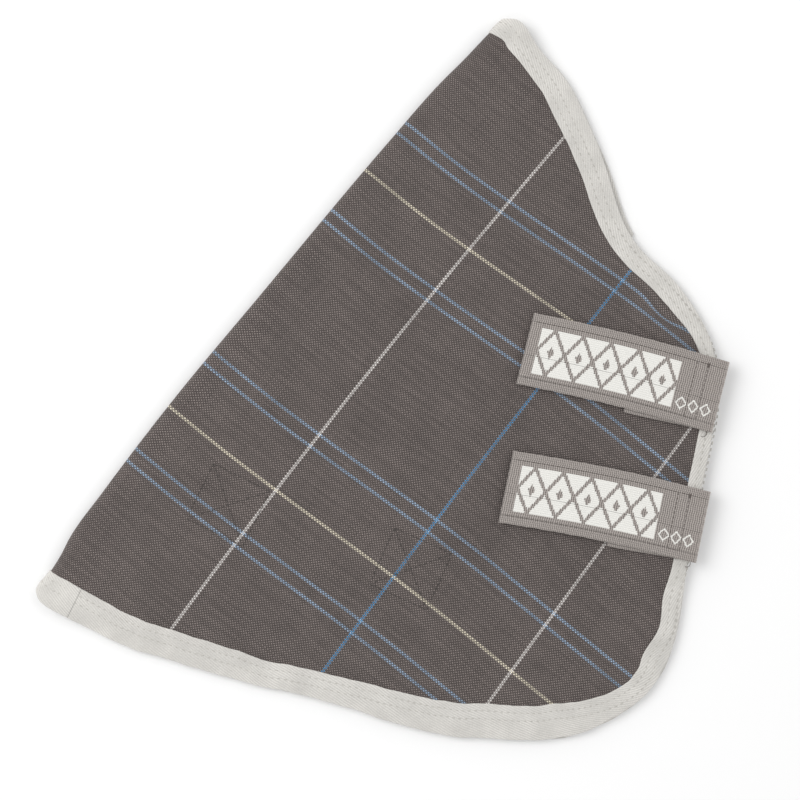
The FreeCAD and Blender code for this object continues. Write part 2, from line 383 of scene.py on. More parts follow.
def tubes(name, centres, ups, radii, material, sides=6):
    """Many short threads in one piece: centres and ups are (threads, stations, 3), radii one per station."""
    count, stations = centres.shape[:2]
    way = np.gradient(centres, axis=1)
    way /= np.linalg.norm(way, axis=2)[..., None]
    side = np.cross(way, ups)
    side /= np.maximum(np.linalg.norm(side, axis=2), 1e-9)[..., None]
    top = np.cross(side, way)
    turn = np.arange(sides) * 2 * math.pi / sides
    ring = (np.cos(turn)[:, None] * side[:, :, None] + np.sin(turn)[:, None] * top[:, :, None])
    points = centres[:, :, None] + ring * np.asarray(radii)[None, :, None, None]
    index = np.arange(stations * sides).reshape(stations, sides)
    ahead = np.roll(index, -1, 1)
    quads = np.stack([index[:-1], ahead[:-1], ahead[1:], index[1:]], -1).reshape(-1, 4)
    base = np.arange(count)[:, None, None] * stations * sides
    faces = [list(f) for f in (quads[None] + base).reshape(-1, 4)]
    faces += [list(f) for f in (index[0][None, ::-1] + base[:, 0])]
    faces += [list(f) for f in (index[-1][None] + base[:, 0])]
    thread_number = np.repeat(np.arange(count), stations * sides)
    pattern = np.stack([thread_number, np.tile(np.repeat(np.arange(stations), sides), count)], -1)
    return mesh_object(name, points.reshape(-1, 3), faces, pattern, material, sharp=75)


STITCH_SHARES = np.array([0.0, 0.16, 0.5, 0.84, 1.0])
STITCH_RISE = np.array([-0.35, 0.1, 0.22, 0.1, -0.35])
STITCH_FATNESS = np.array([0.55, 1.0, 1.0, 1.0, 0.55])


def stitch_rows(line, pitch, length):
    """Stitches along a line of flat places: the places of each one's stations."""
    line = np.asarray(line, float)
    along = lengths_along(line)
    starts = np.arange(0, along[-1] - length, pitch)
    at = starts[:, None] + STITCH_SHARES * length
    return np.stack([np.interp(at, along, line[:, k]) for k in range(2)], -1)


def box_of_stitches(u_range, v_range, pitch, length, crossed=True):
    """The lines of a box stitch: its four sides, and its two diagonals."""
    (u0, u1), (v0, v1) = u_range, v_range
    sides = [((u0, v0), (u1, v0)), ((u1, v0), (u1, v1)), ((u1, v1), (u0, v1)), ((u0, v1), (u0, v0))]
    if crossed:
        sides += [((u0, v0), (u1, v1)), ((u0, v1), (u1, v0))]
    return np.concatenate([stitch_rows(side, pitch, length) for side in sides])


def stitches(name, flat, to_point, lift, radius, material):
    """A piece of stitches: flat is (stitches, stations, 2), and to_point turns flat places into points."""
    rise = STITCH_RISE * radius * 2
    centres = to_point(flat[..., 0], flat[..., 1], lift + rise)
    ups = to_point(flat[..., 0], flat[..., 1], lift + rise + 1) - centres
    return tubes(name, centres, ups, STITCH_FATNESS * radius, material)


# Materials.

TAPE_JOIN = 943.0  # the binding starts and ends here, one end lapped over the other


class Paint:
    """Builds one material's node tree, a step per line."""

    def __init__(self, name):
        self.material = bpy.data.materials.new(name)
        self.material.use_nodes = True
        tree = self.material.node_tree
        self.nodes, self.links = tree.nodes, tree.links
        self.shader = self.nodes["Principled BSDF"]

    def put(self, socket, value):
        if isinstance(value, bpy.types.NodeSocket):
            self.links.new(value, socket)
        elif socket.type == "RGBA":
            socket.default_value = (*value, 1)
        else:
            socket.default_value = value

    def node(self, kind, values, output=0, **settings):
        """One output of a new node. values are its inputs, in order, or by number or name."""
        node = self.nodes.new(f"ShaderNode{kind}")
        for setting, value in settings.items():
            setattr(node, setting, value)
        if not isinstance(values, dict):
            values = dict(enumerate(values))
        for socket, value in values.items():
            self.put(node.inputs[socket], value)
        return node.outputs[output]

    def math(self, kind, *values):
        return self.node("Math", values, operation=kind)

    def chain(self, kind, total, *others):
        for value in others:
            total = self.math(kind, total, value)
        return total

    def add(self, *values):
        return self.chain("ADD", *values)

    def times(self, *values):
        return self.chain("MULTIPLY", *values)

    def wave(self, at, length):
        """A sine of a coordinate, between -1 and 1."""
        return self.math("SINE", self.times(at, 2 * math.pi / length))

    def swell(self, at, length):
        """The same sine, between 0 and 1."""
        return self.math("MULTIPLY_ADD", self.wave(at, length), 0.5, 0.5)

    def band(self, at, middle, half_width):
        """1 within half_width of middle, and 0 outside."""
        return self.math("COMPARE", at, middle, half_width)

    def ramp(self, value, low, high, to_low=0.0, to_high=1.0):
        return self.node("MapRange", (value, low, high, to_low, to_high), interpolation_type="SMOOTHSTEP")

    def mix(self, share, a, b):
        return self.node("Mix", {0: share, 6: a, 7: b}, output=2, data_type="RGBA")

    def shade(self, colour, value):
        """A colour made darker or lighter by a number."""
        return self.node("VectorMath", {0: colour, "Scale": value}, operation="SCALE")

    def cloth(self):
        """The two coordinates of the flat pattern."""
        place = self.node("Attribute", (), output="Vector", attribute_name="cloth")
        return [self.node("SeparateXYZ", [place], output=axis) for axis in (0, 1)]

    def place(self, a, b, c=0.0):
        return self.node("CombineXYZ", (a, b, c))

    def noise(self, at, scale, detail=2.0):
        return self.node("TexNoise", {"Vector": at, "Scale": scale, "Detail": detail}, output="Fac")

    def finish(self, colour, roughness, height=None, depth=0.2, sheen=0.0, specular=0.3):
        look = {"Base Color": colour, "Roughness": roughness, "Specular IOR Level": specular,
                "Sheen Weight": sheen, "Sheen Roughness": 0.5}
        if height is not None:
            look["Normal"] = self.node("Bump", {"Strength": 1.0, "Distance": depth * MM, "Height": height})
        for socket, value in look.items():
            self.put(self.shader.inputs[socket], value)
        return self.material


def thread_line(place):
    """The nearest place with whole threads on both sides of it."""
    return round(place / THREAD) * THREAD


def plain_weave(p, across, along, spacing):
    """1 where an up-and-down thread is on top and 0 elsewhere, and the top thread's bulge, 0 to 1."""
    a = p.wave(across, 2 * spacing)
    b = p.wave(along, 2 * spacing)
    product = p.times(a, b)
    return p.math("GREATER_THAN", product, 0.0), p.math("ABSOLUTE", product)


def check_cloth():
    p = Paint("check_cloth")
    across, along = p.cloth()
    warp_up, crown = plain_weave(p, across, along, THREAD)
    pale_ground, dark_ground = (0.278, 0.236, 0.220), (0.056, 0.043, 0.040)
    blue, pair_blue = (0.045, 0.27, 0.54), (0.42, 0.54, 0.70)
    beige, white = (0.95, 0.86, 0.69), (0.84, 0.81, 0.78)

    def lines(at, places):
        return p.add(*[p.band(at, thread_line(place), THREAD) for place in places])

    warp = p.mix(lines(across, ACROSS_BLUE), pale_ground, pair_blue)
    warp = p.mix(lines(across, ACROSS_BEIGE), warp, beige)
    weft = p.mix(lines(along, ALONG_BLUE), dark_ground, blue)
    weft = p.mix(lines(along, ALONG_WHITE), weft, white)
    seen_below = 0.16  # share of the under thread's colour that shows between the upper ones
    colour = p.mix(p.math("MULTIPLY_ADD", warp_up, 1 - 2 * seen_below, seen_below), weft, warp)

    thread_of_warp = p.math("FLOOR", p.times(across, 1 / THREAD))
    thread_of_weft = p.math("FLOOR", p.times(along, 1 / THREAD))
    slub_warp = p.noise(p.place(p.times(thread_of_warp, 7.3), p.times(along, 0.03)), 1.0)
    slub_weft = p.noise(p.place(p.times(thread_of_weft, 5.1), p.times(across, 0.03), 40.0), 1.0)
    slub = p.add(p.times(warp_up, slub_warp), p.times(p.math("SUBTRACT", 1.0, warp_up), slub_weft))
    mottle = p.noise(p.place(across, along), 0.02, 3.0)
    # Painted shade: the colour is darker in the gaps between threads and lighter on their crowns; slub and
    # mottle are the yarn's own uneven tone.
    shade = p.math("MULTIPLY_ADD", crown, 0.80, 0.27)
    shade = p.times(shade, p.ramp(slub, 0.3, 0.7, 0.78, 1.22), p.ramp(mottle, 0.3, 0.7, 0.95, 1.05))
    return p.finish(p.shade(colour, shade), 0.78, crown, depth=0.12, sheen=0.15)


def lining_cloth():
    p = Paint("lining_cloth")
    across, along = p.cloth()
    _, crown = plain_weave(p, across, along, 0.42)
    ribs = p.wave(across, 5.2)
    mottle = p.noise(p.place(across, along), 0.03, 3.0)
    # Painted shade: darker between the threads and lighter on their crowns; the ribs add pale lines every 5.2
    # mm and mottle is random tone.
    shade = p.add(p.times(crown, 0.35), p.times(p.math("GREATER_THAN", ribs, 0.93), 0.25), 0.72)
    shade = p.times(shade, p.ramp(mottle, 0.3, 0.7, 0.93, 1.07))
    return p.finish(p.shade((0.115, 0.113, 0.118), shade), 0.5, crown, depth=0.06, sheen=0.1, specular=0.45)


RIB_SLANT = math.radians(22)  # the binding's ribs run at this angle to its length


def edge_tape():
    p = Paint("edge_tape")
    along, girth = p.cloth()
    slant = p.add(p.times(girth, math.cos(RIB_SLANT)), p.times(along, math.sin(RIB_SLANT)))
    ribs = p.swell(slant, 1.6)
    beads = p.swell(along, 1.2)
    mottle = p.noise(p.place(along, girth), 0.06, 4.0)
    fine = p.noise(p.place(along, girth), 0.9, 2.0)
    # A painted shade line along the edge of the lapped end at TAPE_JOIN.
    lap_edge_shade = p.band(along, TAPE_JOIN, 0.4)
    # How deep the painted shade between the ribs goes, varying at random over the tape.
    rib_shade_depth = p.ramp(p.noise(p.place(along, girth, 9.0), 0.05, 2.0), 0.35, 0.65, 0.07, 0.20)
    # Painted shade: darker in the grooves between ribs and beads, the same relief that drives the bump;
    # mottle and fine are random tone.
    shade = p.add(p.times(ribs, rib_shade_depth), p.times(beads, ribs, 0.06), p.times(lap_edge_shade, -0.22), 0.83)
    shade = p.times(shade, p.ramp(mottle, 0.25, 0.75, 0.93, 1.05), p.ramp(fine, 0.3, 0.7, 0.94, 1.04))
    height = p.add(ribs, p.times(beads, 0.3))
    return p.finish(p.shade((0.645, 0.627, 0.592), shade), 0.72, height, depth=0.10, sheen=0.2)


def webbing_weave(p, u, v):
    """Height of the straps' ribbed weave, and its rows; strap_webbing paints both into the colour as shade
    too.
    """
    zigzag = p.math("PINGPONG", v, 3.1)
    streaks = p.swell(p.add(u, p.times(zigzag, 0.12)), 1.5)
    rows = p.swell(v, 1.45)
    selvedge = p.ramp(p.math("ABSOLUTE", v), 20.6, 21.2)
    inside = p.math("SUBTRACT", 1.0, selvedge)
    edge_rows = p.swell(u, 1.3)
    height = p.add(p.times(streaks, inside), p.times(rows, 0.35), p.times(edge_rows, selvedge))
    return height, rows


def strap_webbing(name, colour, motif):
    p = Paint(name)
    u, v = p.cloth()
    height, rows = webbing_weave(p, u, v)
    fine = p.noise(p.place(u, v), 0.7, 3.0)
    # Painted shade: the weave's low places are darker, and its raised streaks, rows and selvedge rows
    # lighter.
    shade = p.add(p.times(height, 0.80), 0.36)
    shade = p.times(shade, p.ramp(fine, 0.3, 0.7, 0.90, 1.08))
    if motif:
        # Painted shade along the grooves near each edge and along a line through the motif.
        groove_shade = p.add(p.band(p.math("ABSOLUTE", v), 19.3, 0.35), p.band(v, 4.0, 0.22))
        shade = p.times(shade, p.math("MULTIPLY_ADD", groove_shade, -0.35, 1.0))
    painted = p.shade(colour, shade)
    if motif:
        mask = motif(p, u, v)
        # Painted shade on the motif's pale thread: darker between its rows and along the groove's line.
        thread = p.math("MULTIPLY_ADD", rows, 0.12, 0.88)
        thread = p.times(thread, p.math("MULTIPLY_ADD", p.band(v, 4.0, 0.2), -0.45, 1.0))
        painted = p.mix(mask, painted, p.shade((0.80, 0.79, 0.75), thread))
        flattened = p.times(height, p.math("MULTIPLY_ADD", mask, -0.8, 1.0))
        height = p.add(flattened, p.times(mask, p.add(rows, 0.4)))
    return p.finish(painted, 0.7, height, depth=0.2, sheen=0.2)


MOTIF_START, MOTIF_END = 32.0, 130.0
MOTIF_MIDDLE, MOTIF_TOP = -1.0, 15.5  # across the webbing: its middle, and half of its height
LOZENGES = 5
MOTIF_STEP = 1.45
MOTIF_LINE = 1.35  # half of the width of the lines between lozenges
EYE_SHARE = 0.13
SMALL_START, SMALL_PITCH, SMALL_ROW_V = 4.0, 8.6, 11.0


def lozenge_motif(p, u, v):
    """A woven row of lozenges, stepped as a loom makes it, with three small ones beside it."""
    pitch = (MOTIF_END - MOTIF_START) / LOZENGES
    stepped_v = p.math("SNAP", v, MOTIF_STEP)
    stepped_u = p.math("SNAP", u, 0.65)
    from_middle = p.math("PINGPONG", p.math("SUBTRACT", stepped_u, MOTIF_START), pitch / 2)
    centre = p.math("SUBTRACT", pitch / 2, from_middle)
    high = p.times(p.math("ABSOLUTE", p.math("SUBTRACT", stepped_v, MOTIF_MIDDLE)), pitch / 2 / MOTIF_TOP)
    total = p.add(centre, high)
    gap = p.band(total, pitch / 2, MOTIF_LINE)
    eye = p.math("LESS_THAN", total, pitch * EYE_SHARE)
    inside = p.times(p.band(u, (MOTIF_START + MOTIF_END) / 2, (MOTIF_END - MOTIF_START) / 2),
                     p.band(stepped_v, MOTIF_MIDDLE, MOTIF_TOP))
    block = p.times(inside, p.math("LESS_THAN", p.add(gap, eye), 0.5))

    from_tip = p.math("PINGPONG", p.math("SUBTRACT", p.math("SNAP", u, 0.7), SMALL_START), SMALL_PITCH / 2)
    off_row = p.math("ABSOLUTE", p.math("SUBTRACT", p.math("SNAP", v, 0.7), SMALL_ROW_V))
    diamond = p.math("SUBTRACT", p.times(from_tip, 1.15), off_row)
    ring = p.band(diamond, 0.9, 0.75)
    beside = p.times(ring, p.band(u, SMALL_START + 1.5 * SMALL_PITCH, 1.5 * SMALL_PITCH))
    return p.math("MAXIMUM", block, beside)


def hook_tape():
    p = Paint("hook_tape")
    u, v = p.cloth()
    weave = p.swell(v, 1.1)
    grain = p.noise(p.place(u, v), 0.8, 3.0)
    # Painted shade: darker between the weave's ribs, the relief that also drives the bump; grain is random
    # tone.
    shade = p.add(p.times(weave, 0.3), p.times(grain, 0.3), 0.6)
    return p.finish(p.shade((0.10, 0.098, 0.097), shade), 0.42, weave, depth=0.1, specular=0.5)


def loop_tape():
    p = Paint("loop_tape")
    u, v = p.cloth()
    pile = p.noise(p.place(u, v), 1.6, 6.0)
    tufts = p.noise(p.place(u, v), 0.35, 3.0)
    # Painted shade: the pile is darker where it lies low and lighter where it stands high, the same field
    # that drives the bump.
    shade = p.add(p.times(p.ramp(pile, 0.3, 0.7), 0.55), p.times(tufts, 0.4), 0.45)
    return p.finish(p.shade((0.105, 0.10, 0.098), shade), 0.95, p.add(pile, tufts), depth=0.7, sheen=0.6)


def thread(name, colour):
    p = Paint(name)
    number, station = p.cloth()
    twist = p.swell(p.add(p.times(number, 1.7), station), 1.3)
    tone = p.noise(p.place(number, 0.0), 0.6, 1.0)
    # Painted shade: darker between the twists of the thread, the relief that also drives the bump; tone is
    # each thread's random tone.
    shade = p.add(p.times(twist, 0.15), p.times(tone, 0.2), 0.75)
    return p.finish(p.shade(colour, shade), 0.55, twist, depth=0.06, specular=0.4)


shell_paint = check_cloth()
lining_paint = lining_cloth()
tape_paint = edge_tape()
tab_paint = strap_webbing("tab_webbing", (0.316, 0.284, 0.264), lozenge_motif)
strap_paint = strap_webbing("rug_strap_webbing", (0.21, 0.195, 0.185), None)
hook_paint = hook_tape()
loop_paint = loop_tape()
# The binding's thread is darker than the tape it sews: painted shade of the sunk stitch dimples.
pale_thread = thread("pale_thread", (0.50, 0.483, 0.445))
dark_thread = thread("dark_thread", (0.105, 0.085, 0.075))
shell_thread = thread("shell_thread", (0.056, 0.050, 0.046))


# Shell and lining.

EDGE_STEPS, DEPTH_STEPS = 250, 84
FOLD_COLUMNS, FOLD_ROWS = 260, 34
CLOTH_INSET = 4.0  # inside the binding, short of where it thins
CORNER_STEP = 1.2  # the halves' free edges start this far along from the crest piece


def half_grid(sign):
    """Places on one half from the crest piece's border to the free edge, as two grids."""
    s = np.linspace(S_POLL + CORNER_STEP, S_WITHERS - CORNER_STEP, EDGE_STEPS)
    bottom = edge_place(sign * s, np.full(len(s), CLOTH_INSET))
    bottom[:, 1] = np.abs(bottom[:, 1])
    across = np.linspace(0, 1, EDGE_STEPS)
    ends = edge_place(np.array([S_POLL, S_WITHERS]) * sign, np.full(2, CLOTH_INSET))[:, 0]
    top_x = ends[0] + (ends[1] - ends[0]) * across
    v = np.linspace(0, 1, DEPTH_STEPS)[None]
    x = top_x[:, None] * (1 - v) + bottom[:, :1] * v
    depth = FOLD_DEPTH * (1 - v) + bottom[:, 1:] * v
    return x, sign * depth


def fold_grid():
    """Places on the crest piece, from the lower half's border round to the upper half's."""
    d = np.linspace(-FOLD_DEPTH, FOLD_DEPTH, FOLD_ROWS)[None]
    poll, withers = (edge_place(s_at_depth(np.abs(d), end), np.full(d.shape, CLOTH_INSET))[..., 0]
                     for end in (POLL_END, WITHERS_END))
    share = np.linspace(0, 1, FOLD_COLUMNS)[:, None]
    return poll * (1 - share) + withers * share, np.broadcast_to(d, (FOLD_COLUMNS, FOLD_ROWS))


def cloth_piece(name, grid, low, high, material):
    """A layer of the cover between two lifts."""
    x, d = grid
    pattern = np.stack(thread_place(x, d), -1)
    return slab(name, spot(x, d, high), spot(x, d, low), pattern, material, flipped=d[0, -1] < 0)


grids = {"lower": half_grid(-1), "upper": half_grid(1)}
HAIR = 0.02  # keeps faces that would lie in one plane apart
layers = {"shell": (HAIR, SHELL_THICK, shell_paint, "shell_fabric"),
          "lining": (LINING_LIFT, -HAIR, lining_paint, "lining_fabric")}
for layer, (low, high, paint, slot) in layers.items():
    for half in ("lower", "upper"):
        piece = cloth_piece(f"{half}_{layer}_cloth", grids[half], low, high, paint)
        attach(piece, f"{half}_half")
        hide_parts(f"{half}_{layer}")
    fold = cloth_piece(f"crest_{layer}_cloth", fold_grid(), low, high, paint)
    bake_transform(fold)
    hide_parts(f"crest_{layer}_fold")


# Edge binding: one tape round the opened cover's edge, in four pieces.

LEG_SHARES = np.concatenate([[0, 0.012, 0.035, 0.06], np.linspace(0.10, 0.96, 15)])
HALF_BOUND = (BINDING_TOP - BINDING_BOTTOM) / 2  # half of the thickness of the bound edge
HEM_LIFT = (BINDING_TOP + BINDING_BOTTOM) / 2
HEM_RADIUS, HEM_SLIT = 0.75, 0.08  # the tape's own fold, outside and inside
HEM_TAPER = 5.0  # the bound edge thins over this distance towards the fold
STITCH_ROWS = (5.0, 10.6)  # from the tape's inner edge
# Width of tape that shows on a face, at distances from the poll: fed in by hand, it wanders.
TAPE_WIDTHS = [
    (0, 14.2), (8, 16.0), (18, 18.6), (40, 16.5), (60, 18.4), (80, 20.0), (110, 18.9), (150, 17.5),
    (190, 15.0), (245, 14.0), (270, 10.8), (330, 9.4), (365, 9.8), (436, 10.8), (456, 13.7), (474, 12.4),
    (500, 17.3), (516, 15.5), (540, 15.9), (560, 19.0), (580, 23.2), (605, 24.0), (690, 23.0), (750, 19.5),
    (790, 18.3), (830, 20.0), (900, 21.2), (945, 22.6), (960, 22.7), (967, 21.2), (976, 18.4),
]
width_on_face = smooth_line(TAPE_WIDTHS)
LAP_RISE, LAP_END = 0.3, 14.0  # the lapped end lies higher, and levels out over this distance to the crest
TAPE_PITCH, TAPE_STITCH = 4.6, 2.3


def tape_width(s):
    """Width of the tape on a face, at distances s along the edge loop."""
    half = from_poll(s)
    steady = smoothstep((half - S_POLL) / 30) * smoothstep((S_WITHERS - half) / 30)
    return width_on_face(half) + 0.2 * ripple(half, 60, 8) * steady


def tape_section(s, face):
    """The tape's section at distances s: (inset, lift) grids of its outside or inside surface."""
    width = tape_width(s)[:, None]
    inside = face == "inside"
    radius = HEM_SLIT if inside else HEM_RADIUS
    leg = width - (width - HEM_RADIUS) * LEG_SHARES[None]
    from_tip = width - leg
    reach = HEM_RADIUS + (HALF_BOUND - HEM_RADIUS) * smoothstep((leg - HEM_RADIUS) / HEM_TAPER)
    if inside:
        reach = np.maximum(reach - BINDING_LEG, HEM_SLIT)
    top, bottom = HEM_LIFT + reach, HEM_LIFT - reach
    if not inside:
        rounded = 0.42 * (1 - smoothstep(from_tip / 0.55))
        lapped = (s[:, None] > TAPE_JOIN) * smoothstep((S_WITHERS - s[:, None]) / LAP_END)
        proud = 0.16 * hill(from_tip, 1.1, 0.9) + LAP_RISE * lapped
        dimples = 0.12 * sum(hill(from_tip, row, 0.9) for row in STITCH_ROWS)
        top += proud - dimples - rounded
        bottom += dimples + rounded
    turn = np.broadcast_to(np.radians(np.linspace(90, 270, 9)), (len(s), 9))
    inset = np.concatenate([leg, HEM_RADIUS + radius * np.cos(turn), leg[:, ::-1]], 1)
    lift = np.concatenate([top, HEM_LIFT + radius * np.sin(turn), bottom[:, ::-1]], 1)
    return inset, lift


def tape_piece(name, s):
    """A stretch of the edge binding."""
    surfaces = []
    for face in ("outside", "inside"):
        inset, lift = tape_section(s, face)
        place = edge_place(np.broadcast_to(s[:, None], inset.shape), inset)
        surfaces.append(spot(place[..., 0], place[..., 1], lift))
    inset, lift = tape_section(s, "outside")
    girth = np.concatenate([np.zeros((len(s), 1)),
                            np.cumsum(np.hypot(np.diff(inset, axis=1), np.diff(lift, axis=1)), axis=1)], 1)
    pattern = np.stack([np.broadcast_to(s[:, None], inset.shape), girth], -1)
    return slab(name, surfaces[0], surfaces[1], pattern, tape_paint, flipped=True)


def tape_stitches(name, s_start, s_end):
    """Both rows of stitches, on both faces of a stretch of the binding."""
    rows = []
    for row in STITCH_ROWS:
        starts = np.arange(s_start + 1.2, s_end - 3.6, TAPE_PITCH) + 0.3 * row
        s = starts[:, None] + STITCH_SHARES * TAPE_STITCH
        rows.append(edge_place(s, tape_width(s) - row))
    x, d = np.moveaxis(np.concatenate(rows), -1, 0)
    centres, ups = [], []
    for way, lift in ((1, BINDING_TOP - 0.15), (-1, BINDING_BOTTOM + 0.15)):
        rise = lift + way * STITCH_RISE * 0.5
        centres.append(spot(x, d, rise))
        ups.append(spot(x, d, rise + way) - centres[-1])
    return tubes(name, np.concatenate(centres), np.concatenate(ups), STITCH_FATNESS * 0.25, pale_thread)


TAPE_STRETCHES = {
    "lower_binding": (-S_WITHERS, -S_POLL, 500),
    "upper_binding": (S_POLL, S_WITHERS, 500),
    "crest_binding_poll": (-S_POLL, S_POLL, 34),
    "crest_binding_withers": (S_WITHERS, 2 * HALF_EDGE - S_WITHERS, 34),
}
for node, (s_start, s_end, count) in TAPE_STRETCHES.items():
    where = node.split("_")[0]
    stations = np.linspace(s_start, s_end, count)
    if where == "upper":
        stations = np.sort(np.append(stations, [TAPE_JOIN - 0.1, TAPE_JOIN + 0.1]))
    tape = tape_piece(f"{node}_tape", stations)
    seam = tape_stitches(f"{node}_stitches", s_start, s_end)
    for piece in (tape, seam):
        if where in ("lower", "upper"):
            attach(piece, f"{where}_half")
        else:
            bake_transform(piece)
    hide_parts(node)


# Straps and tabs.

def strap_place(place, heading, u, v):
    """Places (x, depth) of points u along and v across a strap."""
    turn = math.radians(heading)
    x = place[0] + math.cos(turn) * u - math.sin(turn) * v
    depth = place[1] - math.sin(turn) * u - math.cos(turn) * v
    return x, depth


def on_cover(place, heading, sign):
    """Turns places on a strap into points on the upper half (sign 1) or the lower half (-1)."""

    def to_point(u, v, lift):
        x, depth = strap_place(place, heading, u, v)
        return spot(x, sign * depth, lift)

    return to_point


def strap_grid(start, end, width, step=1.6):
    """u and v grids of a strap, its long edges a little uneven."""
    u = np.linspace(start, end, int((end - start) / step) + 1)[:, None]
    middle = np.linspace(-0.93, 0.93, int(width / 1.5))
    shares = np.concatenate([[-1, -0.99, -0.965], middle, [0.965, 0.99, 1]])
    v = shares[None] * width / 2
    uneven = 0.12 * ripple(u + start, 17, int(width)) * np.sign(v) * (np.abs(shares[None]) > 0.9)
    return np.broadcast_to(u, (len(u), v.shape[1])), v + uneven


def rounded_edges(v, width, thick):
    """How far a strap's surface drops towards its woven edges."""
    return 0.4 * thick * smoothstep((np.abs(v) - (width / 2 - 0.9)) / 0.9)


def strap_slab(name, u, v, low, high, to_point, width, material, flipped=False):
    """A flat length of webbing or tape between two levels."""
    drop = rounded_edges(v, width, high - low)
    pattern = np.stack([u, v], -1)
    top, bottom = to_point(u, v, high - drop), to_point(u, v, low + drop * 0.6)
    return slab(name, top, bottom, pattern, material, flipped)


def hooks(name, start, end, width, level, way, pitch, to_point):
    """Rows of small bent hooks standing on a tape: way is 1 if they stand towards greater levels."""
    u = np.arange(start + 1.5, end - 1.5, pitch)
    v = np.arange(-width / 2 + 2.5, width / 2 - 2.4, pitch)
    grid_u, grid_v = (g.ravel() for g in np.meshgrid(u, v, indexing="ij"))
    grid_u = grid_u + np.where(np.round((grid_v - v[0]) / pitch) % 2 > 0, pitch / 2, 0)
    lean = np.array([0.0, 0.02, 0.16, 0.46])
    rise = np.array([-0.1, 0.32, 0.56, 0.42])
    flat_u = grid_u[:, None] + lean
    flat_v = np.broadcast_to(grid_v[:, None], flat_u.shape)
    centres = to_point(flat_u, flat_v, level + way * rise)
    ups = to_point(flat_u, flat_v + 1, level + way * rise) - centres
    return tubes(name, centres, ups, np.array([0.17, 0.13, 0.11, 0.08]), hook_paint, sides=4)


def pile(u, v, seed):
    """The uneven top of a loop pile."""
    bumps = 0.10 * np.sin(u * 2.3 + seed) * np.sin(v * 2.1 + 0.7 * seed) + 0.07 * np.sin(u * 5.1 + v * 3.3)
    return bumps + 0.08 * np.random.default_rng(seed).standard_normal(u.shape)


def loop_pad(name, start, end, width, low, high, to_point, seed, flipped=False):
    """A pad of loop tape: an even backing with a fuzzy face."""
    u, v = strap_grid(start, end, width, step=0.95)
    edge = np.minimum(np.minimum(u - start, end - u), width / 2 - np.abs(v))
    inner = smoothstep(edge / 2.2)
    face = high - (high - low) * 0.45 * (1 - inner) + np.sign(high - low) * pile(u, v, seed) * inner
    pattern = np.stack([u, v], -1)
    return slab(name, to_point(u, v, face), to_point(u, v, low), pattern, loop_paint, flipped)


ROOT_RADIUS = (FLAP_Z + WEBBING_THICK - TAB_BED_Z) / 2
ROOT_MIDDLE_Z = TAB_BED_Z + ROOT_RADIUS
# Where each loop patch is: half, sign, the lift of its face, and the seed of its pile.
PATCHES = (("upper", 1, SHELL_THICK + LOOP_THICK, 3), ("lower", -1, BINDING_TOP - 0.1, 4))
TAB_BOX_START = 13.6
BAR_TACK = (12.9, 13.5, 14.1)  # the threads of the small bar of stitches at the box's corner
# A loose thread end beside each box stitch: along and across the tab, and above the binding.
THREAD_TAIL = np.array([(4.0, 24.4, 0.6), (3.2, 26.2, 0.2), (3.6, 28.0, 0.1),
                        (5.2, 29.2, 0.1), (6.4, 28.8, 0.1)])
RUG_BOX = ((-21.0, 21.0), (-21.5, 21.5))  # a rug strap's box stitch, along and across it


def tab_bow(u, v):
    """How far a tab's flap rises above its flat level."""
    return 0.35 * hill(u, 48, 16) + 0.5 * smoothstep((u - 120) / 18) * (0.5 + v / 50)


def tab_arch(u):
    """How far a tab's middle line strays sideways: the webbing isn't laid quite straight."""
    return 1.9 * np.sin(math.pi * np.clip(u / TAB_LENGTH, 0, 1))


def root_section(layer):
    """(u, z, girth) along the outside or inside face of a tab's root: under-layer, fold and top layer."""
    radius = ROOT_RADIUS - (0 if layer == "outside" else WEBBING_THICK)
    under = np.linspace(TAB_UNDERLAP, ROOT_RADIUS, 30)
    turn = np.linspace(-90, -270, 15)[1:-1] * math.pi / 180
    over = np.linspace(ROOT_RADIUS, TAB_ROOT, 14)
    u = np.concatenate([under, ROOT_RADIUS + radius * np.cos(turn), over])
    height = np.concatenate([np.full(len(under), -radius), radius * np.sin(turn), np.full(len(over), radius)])
    girth = np.concatenate([-under, np.linspace(-1, 1, len(turn)) / 2, over])
    return u, ROOT_MIDDLE_Z + height, girth


